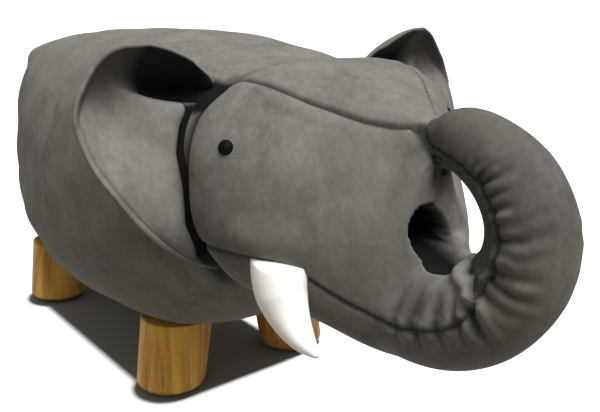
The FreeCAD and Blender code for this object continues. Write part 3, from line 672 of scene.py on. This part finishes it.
def add_mesh(name, points, faces, material, **values):
    """One smooth piece from points in millimetres, with values for its points."""
    mesh = bpy.data.meshes.new(name)
    mesh.from_pydata((np.asarray(points) / 1000).tolist(), [], [tuple(map(int, face)) for face in faces])
    mesh.polygons.foreach_set("use_smooth", [True] * len(mesh.polygons))
    for key, value in values.items():
        mesh.attributes.new(key, "FLOAT", "POINT").data.foreach_set("value", np.asarray(value, np.float32))
    mesh.materials.append(material)
    mesh.update()
    piece = bpy.data.objects.new(name, mesh)
    bpy.context.scene.collection.objects.link(piece)
    return piece


centres = points[quads].mean(1)
strip_face = (from_strip[quads].mean(1) < 0) & strip_near[quads].all(1)
panel = panel_of(centres, strip_face)

# The panels' edges are drawn straight along their seams.
pairs = np.sort(np.concatenate([quads[:, [i, (i + 1) % 4]] for i in range(4)]), axis=1)
owner = np.tile(panel, 4)
order = np.lexsort((pairs[:, 1], pairs[:, 0]))
pairs, owner = pairs[order], owner[order]
seam_edges = pairs[::2][owner[::2] != owner[1::2]]
for step in range(8):
    total, count = np.zeros_like(points), np.zeros(len(points))
    for one, two in ((0, 1), (1, 0)):
        np.add.at(total, seam_edges[:, one], points[seam_edges[:, two]])
        np.add.at(count, seam_edges[:, one], 1)
    on_seam = count > 1
    points[on_seam] += 0.5 * (total[on_seam] / count[on_seam][:, None] - points[on_seam])
panel_pieces = [
    ("rump_panel_cloth", ["rump_panel", "rear_foam"]),
    ("back_cloth", ["back_cover", "seat_foam", "side_foam_left", "side_foam_right", "front_foam"]),
    ("cheek_left_cloth", ["cheek_left"]),
    ("cheek_right_cloth", ["cheek_right"]),
    ("trunk_cloth", ["trunk_cover", "trunk_stuffing", "head_stuffing"]),
    ("trunk_strip_cloth", ["trunk_inner_strip"])]
for number, (name, nodes) in enumerate(panel_pieces):
    faces = quads[panel == number]
    used, faces_new = np.unique(faces, return_inverse=True)
    piece = add_mesh(name, points[used], faces_new.reshape(-1, 4), cover_cloth, seam=dark_seam[used],
                     stitch=stitch[used], tone=nap_tone[used])
    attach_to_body(piece, "stool")
    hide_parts(*nodes)

# Ears
# Two layers of the cover cloth over a thin pad, sewn round a rolled rim and caught in the neck
# seam. The lower half faces up and forward; the top is scooped back under a rim that rolls over.
ear_edges = np.array([
    # height, inner across, outer across, rim's set-back
    (163, 92, 97, 0), (175, 95, 119, -8), (186, 96, 137, -13), (198, 97, 151, -15), (211, 97, 163, -15),
    (225, 97, 173, -11), (238, 97, 180, -6), (251, 97, 187, 4), (268, 96, 191, 13), (284, 92, 192, 21),
    (292, 86, 190, 23), (299, 80, 187.5, 25), (305, 78, 184.5, 26), (311, 83, 180.5, 27),
    (317, 91, 176.5, 27), (323, 101, 172, 27), (328, 111, 167, 26), (331.5, 120, 162.5, 26),
    (334, 128, 157, 25), (335.5, 135, 150, 24)])
ear_foot, ear_height = ear_edges[0, 0], ear_edges[-1, 0] - ear_edges[0, 0]
scoop_depth, dish_depth, tuck_depth, roll_depth = 23, 13, 17, 9


def grid(rows, columns):
    """Point numbers of a sheet in rows and columns, and its quads."""
    index = np.arange(rows * columns).reshape(rows, columns)
    return index, np.stack([index[:-1, :-1], index[:-1, 1:], index[1:, 1:], index[1:, :-1]], 2).reshape(-1, 4)


def make_ear(name, side, body, nodes, tone):
    """side is -1 for the right ear and 1 for the left."""
    rows, columns = 110, 90
    height = ear_foot + ear_height * (0.5 - 0.5 * np.cos(np.pi * np.linspace(0.0, 1.0, rows)))
    inner, outer, rim = (np.interp(height, ear_edges[:, 0], ear_edges[:, k]) for k in (1, 2, 3))
    for k in range(12):
        for edge in (inner, outer, rim):
            edge[1:-1] = (edge[:-2] + 2 * edge[1:-1] + edge[2:]) / 4
    u = np.linspace(0.0, 1.0, columns)
    across = inner[:, None] + (outer - inner)[:, None] * u
    level = np.repeat(height[:, None], columns, 1)
    attach = np.interp(height, [163, 270, 285, 297, 306, 318, 336], [0, 2, 4, 12, 20, 27, 25])
    back = attach[:, None] + (rim - attach)[:, None] * np.clip(u * 1.6, 0, 1) ** 0.7
    bulge = np.sin(np.pi * np.clip(u * 1.15, 0, 1)) * hill(level - 225, 70)
    back = back - 5 * bulge + 3 * hill(across - 118, 26) * hill(level - 215, 60)
    fold = np.interp(level, [163, 181, 208, 232, 257, 275, 288], [103, 119, 131, 127, 125, 118, 109])
    tuck = np.clip((fold + 1.5 - across) / 4.5, 0, 1) * np.clip((292 - level) / 6, 0, 1)
    tuck = tuck * np.clip((level - ear_foot) / 10, 0, 1)
    tuck = tuck * tuck * (3 - 2 * tuck)
    back = back + tuck_depth * tuck
    ridge = np.interp(across, [95, 107, 119, 131, 143, 152, 165, 192], [287, 288, 290, 293, 297, 302, 311, 322])
    tops = np.concatenate([inner[height >= 305], outer[height >= 284][::-1]])
    top = np.interp(across, tops, np.concatenate([height[height >= 305], height[height >= 284][::-1]]))
    q = np.clip((level - ridge) / np.maximum(top - ridge, 6), 0, 1)
    soft = np.clip((across - 134) / 26, 0, 1)
    depth = scoop_depth * hill(across - 104, 70) ** 0.6
    sunk = np.interp(q, [0, 0.04, 0.16, 0.35, 0.6, 0.8, 1.0], [0, 0.10, 0.75, 1.0, 0.7, 0.2, -0.15])
    dish = hill((level - 302 + 0.25 * (across - 160)) / np.maximum(top - 262, 12), 0.62) * hill(across - 158, 42)
    back = back + (1 - soft) * depth * sunk + dish_depth * soft * dish
    sagging = np.interp(q, [0, 0.05, 0.18, 0.45, 1], [0, 0.1, 1, 0.4, 0])
    level = level - (1 - soft) * 9 * np.clip(depth / 20, 0, 1) * sagging
    roll = np.clip(1 - (top - level) / 10, 0, 1) ** 1.5 * np.clip((across - 86) / 14, 0, 1)
    roll = roll * np.clip((level - 272) / 34, 0, 1)
    back = back - roll_depth * roll
    middle = np.stack([neck - back, side * across, level], 2)
    for k in range(2):
        inside = (middle[:-2, 1:-1] + middle[2:, 1:-1] + middle[1:-1, :-2] + middle[1:-1, 2:]) / 4
        middle[1:-1, 1:-1] = 0.5 * middle[1:-1, 1:-1] + 0.5 * inside
    normal = np.cross(np.gradient(middle, axis=1), np.gradient(middle, axis=0)) * side
    above, below = np.concatenate([normal[:1], normal[:-1]]), np.concatenate([normal[1:], normal[-1:]])
    normal = (above + normal + below) / 3
    normal /= np.maximum(np.linalg.norm(normal, axis=2), 1e-6)[:, :, None]
    normal[-6:], normal[:3] = normal[-7], normal[3]
    flat = middle.reshape(-1, 3)
    free = np.concatenate([middle[:, -1], middle[::-1, 0][height[::-1] > 308]])
    edge, share = near_line(flat, free[::2])
    edge, share = edge.reshape(rows, columns), share.reshape(rows, columns)
    bottom = np.clip((level - ear_foot) / 8, 0, 1)
    stitch_line = hill(edge - 4.2, 1.5)
    half = 1.2 + 2.3 * np.clip(edge / 9, 0, 1) ** 0.5 * (0.4 + 0.6 * bottom) - 0.5 * stitch_line
    front, rear = middle + normal * half[:, :, None], middle - normal * half[:, :, None]
    points = np.concatenate([front.reshape(-1, 3), rear.reshape(-1, 3)])
    index, quad = grid(rows, columns)
    loop = np.concatenate([index[0, :-1], index[:-1, -1], index[-1, :0:-1], index[:0:-1, 0]])
    back_loop = loop + rows * columns
    band = np.stack([loop, back_loop, np.roll(back_loop, -1), np.roll(loop, -1)], 1)
    faces = np.concatenate([quad, quad[:, ::-1] + rows * columns, band])
    if side > 0:
        faces = faces[:, ::-1]
    # Painted shade: dark in the scoop under the rolled rim and in the dish and roll, near-black in the tucked fold
    # by the neck, and a little in the stitched groove round the edge.
    cave = (1 - soft) * np.clip(8 * q, 0, 1) * np.clip(depth / 16, 0, 1) + 0.30 * soft * dish + 0.5 * soft * roll
    dark = np.maximum(0.3 * stitch_line, np.maximum(np.clip(cave, 0, 1), tuck)).ravel()
    # A painted highlight along the lower part of the free rim, on both layers.
    rim_light = hill(edge - 1.8, 2.2).ravel() * 0.6 * (share.ravel() < 0.42)
    piece = add_mesh(name, points, faces, cover_cloth, seam=np.concatenate([dark, 0 * dark]),
                     stitch=np.concatenate([rim_light, rim_light]), tone=np.full(len(points), tone))
    smooth = piece.modifiers.new("round", "SUBSURF")
    smooth.levels = smooth.render_levels = 1
    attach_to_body(piece, body)
    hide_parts(*nodes)


# The right ear's cloth is painted lighter and the left ear's darker, as painted light and shade.
make_ear("ear_right_cloth", -1, "ear_right", ["ear_right_cover", "ear_right_padding"], 1.12)
make_ear("ear_left_cloth", 1, "ear_left", ["ear_left_cover", "ear_left_padding"], 0.95)

# Tusks
# Cones of smooth off-white cloth filled hard with fibre, with a seam down each side, and sewn by
# their open ends to the underside of the cheeks.
tusk_cloth, wire = start_material("tusk_cloth")
weave = noise(wire, (1900.0, 1900.0, 1900.0), 2.0)
soil = noise(wire, (45.0, 45.0, 45.0), 3.0)
white = mix(wire, soil, (0.90, 0.88, 0.835, 1.0), (0.95, 0.94, 0.915, 1.0))
painted_seam_shade = wire.node("Attribute", {"attribute_name": "seam"}, None, "Fac")
# The seam lines are painted a little darker, as shade in their grooves.
close_material(wire, Base_Color=mix(wire, 0.2 * painted_seam_shade, white, (0.42, 0.36, 0.28, 1.0)), Roughness=0.7 + 0.15 * weave,
               Sheen_Weight=0.1, Normal=bump(wire, weave, 0.0003, 0.35))
tusk_shares = [
    # ahead, up, radius
    (-0.10, 0.33, 1.00), (0.06, 0.00, 1.11), (0.21, -0.38, 0.96),
    (0.45, -0.72, 0.68), (0.71, -0.90, 0.42), (0.94, -0.98, 0.17)]
tusk_x, tusk_z, tusk_length, tusk_radius, tusk_spread = neck + 70, 186.0, 52.0, 19.5, 91.0
tusk_line, tusk_way, _ = curl(tusk_shares, (tusk_x, tusk_z), tusk_length, tusk_length, tusk_radius, 50)
for side, word in ((-1, "right"), (1, "left")):
    rings, marks = [], []
    for place, way in zip(tusk_line, tusk_way):
        radius = place[2]
        flat = section(radius, radius, radius, 2.0, 2.0, 48)
        seam = hill(flat[:, 0] / max(radius, 1), 0.16)
        flat = flat * (1 - 0.012 * seam)[:, None]
        marks.append(seam)
        spread = tusk_spread - 6 * np.clip((place[1] - 166) / 28, 0, 1)
        rings.append(ring_square_to(place, way, flat, side * spread))
    end = rings[-1]
    for step, share in ((1.2, 0.75), (2.2, 0.4)):
        ring = end.mean(0) + (end - end.mean(0)) * share
        rings.append(ring + np.array([tusk_way[-1][0], 0, tusk_way[-1][1]]) * step)
        marks.append(marks[-1])
    tusk_points, tusk_faces = loft(rings)
    lip = 191 - 0.10 * (tusk_points[:, 0] - neck - 60)
    tusk_points[:, 2] = np.minimum(tusk_points[:, 2], lip + 0.12 * (tusk_points[:, 2] - lip))
    piece = add_mesh("tusk_%s_cloth" % word, tusk_points, tusk_faces, tusk_cloth,
                     seam=np.concatenate([*marks, [0, 0]]))
    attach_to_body(piece, "stool")
    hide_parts("tusk_%s_cover" % word, "tusk_%s_filling" % word)

# Eyes
# Domed buttons of polished black plastic on shanks, pulled slightly into the cheeks. Each shank
# goes through the cloth and is held by a washer pressed on from inside.
eye_plastic, wire = start_material("eye_plastic")
polish = noise(wire, (300.0, 300.0, 300.0), 2.0)
close_material(wire, Base_Color=mix(wire, polish, (0.003, 0.003, 0.003, 1.0), (0.006, 0.006, 0.006, 1.0)),
               Roughness=0.5 + 0.08 * polish, Specular_IOR_Level=0.04)
give(eye_plastic, "eye_left", "eye_right")

# Dust cover
# Black non-woven cloth stretched under the base board, its edges under the staples. It is one
# sheet, narrower towards its ends, and sags a little in the middle.
lining, wire = start_material("lining_cloth")
fibres = noise(wire, (700.0, 250.0, 700.0), 3.0)
close_material(wire, Base_Color=mix(wire, fibres, (0.012, 0.012, 0.012, 1.0), (0.035, 0.035, 0.034, 1.0)),
               Roughness=0.9 + 0.05 * fibres, Normal=bump(wire, fibres, 0.0003, 0.5))
low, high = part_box("dust_cover")
low, high = np.array(low) * 1000, np.array(high) * 1000
corner_half, edge_half, rear_taper, front_taper, sheet_level, sag_depth = 59, 82, 52, 32, 73.3, 1.2
rows, columns = 60, 30
u, v = np.meshgrid(np.linspace(0, 1, rows), np.linspace(-1, 1, columns), indexing="ij")
x = low[0] + u * (high[0] - low[0])
half = np.interp(x[:, 0], [low[0], low[0] + rear_taper, high[0] - front_taper, high[0]],
                 [corner_half, edge_half, edge_half, corner_half])
y = v * half[:, None]
sag = np.clip(1 - v ** 2, 0, 1) * np.sin(np.pi * u) * sag_depth
z = np.full_like(x, sheet_level) - sag
index, quad = grid(rows, columns)
sheet = add_mesh("dust_cover_cloth", np.stack([x, y, z], 2).reshape(-1, 3), quad, lining)
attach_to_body(sheet, "stool")
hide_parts("dust_cover")

# Floor and light
# A plain white floor and an even sky. A wide soft lamp stands high up for everything but the
# floor; the cheeks have it to themselves, past the trunk. A small lamp casts the shadow on the floor.
floor_paint, wire = start_material("floor_paint")
rays = wire.node("LightPath", out="Is Camera Ray")
gloss = wire.node("LightPath", out="Is Glossy Ray")
clear = wire.node("LightPath", out="Is Transmission Ray")
seen = (rays + gloss + clear).clamp()
white = wire.node("BsdfDiffuse", None, {"Color": (0.34, 0.335, 0.33, 1.0)})
dull = wire.node("BsdfDiffuse", None, {"Color": (0.060, 0.055, 0.047, 1.0)})
wire.node("OutputMaterial", None, {"Surface": wire.node("MixShader", None, {0: seen, 1: dull, 2: white})})
floor_half, floor_level = 9000, -0.4
corners = [(x * floor_half, y * floor_half, floor_level) for x, y in ((-1, -1), (1, -1), (1, 1), (-1, 1))]
floor = add_mesh("floor", corners, [(0, 1, 2, 3)], floor_paint)


def lamp(name, energy, spread, towards):
    """Even light from a direction."""
    data = bpy.data.lights.new(name, "SUN")
    data.energy, data.angle = energy, math.radians(spread)
    piece = bpy.data.objects.new(name, data)
    piece.rotation_euler = (math.atan2(-towards[1], math.hypot(towards[0], towards[2])),
                            math.atan2(towards[0], towards[2]), 0)
    bpy.context.scene.collection.objects.link(piece)
    return piece


def group(name, pieces, left_out=False):
    """A lamp's collection: these pieces, or with left_out all but these."""
    collection = bpy.data.collections.new(name)
    for piece in pieces:
        collection.objects.link(piece)
    for entry in collection.collection_objects if left_out else []:
        entry.light_linking.link_state = "EXCLUDE"
    return collection


high_lamp = lamp("high_lamp", 5.2, 40, (0.42, 0.03, 0.90))
cheek_lamp = lamp("cheek_lamp", 5.2, 40, (0.42, 0.03, 0.90))
floor_lamp = lamp("floor_lamp", 15.0, 8, (-0.02, 0.22, 0.97))
cheeks = [bpy.data.objects[name] for name in ("cheek_left_cloth", "cheek_right_cloth")]
trunk = [bpy.data.objects[name] for name in ("trunk_cloth", "trunk_strip_cloth")]
undercarriage = [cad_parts[name] for name in (
    "base_board", "tee_nuts", "leg_front_left", "leg_front_right", "leg_rear_left", "leg_rear_right")] + [sheet]
floor_lamp.light_linking.receiver_collection = group("lit_by_floor_lamp", [floor])
floor_lamp.light_linking.blocker_collection = group("blocks_floor_lamp", undercarriage)
high_lamp.light_linking.receiver_collection = group("lit_by_high_lamp", cheeks + [floor], left_out=True)
cheek_lamp.light_linking.receiver_collection = group("lit_by_cheek_lamp", cheeks)
cheek_lamp.light_linking.blocker_collection = group("blocks_cheek_lamp", trunk, left_out=True)

world = bpy.data.worlds.new("sky")
bpy.context.scene.world = world
world.use_nodes = True
world.node_tree.nodes.clear()
wire = Wire(world.node_tree)
seen = wire.node("LightPath", out="Is Camera Ray")
glow = mix(wire, seen, (1.0, 0.965, 0.88, 1.0), (1.0, 1.0, 1.0, 1.0))
background = wire.node("Background", None, {"Color": glow, "Strength": 0.34 + 0.66 * seen})
wire.node("OutputWorld", None, {"Surface": background})
bpy.context.scene.view_settings.view_transform = "Standard"
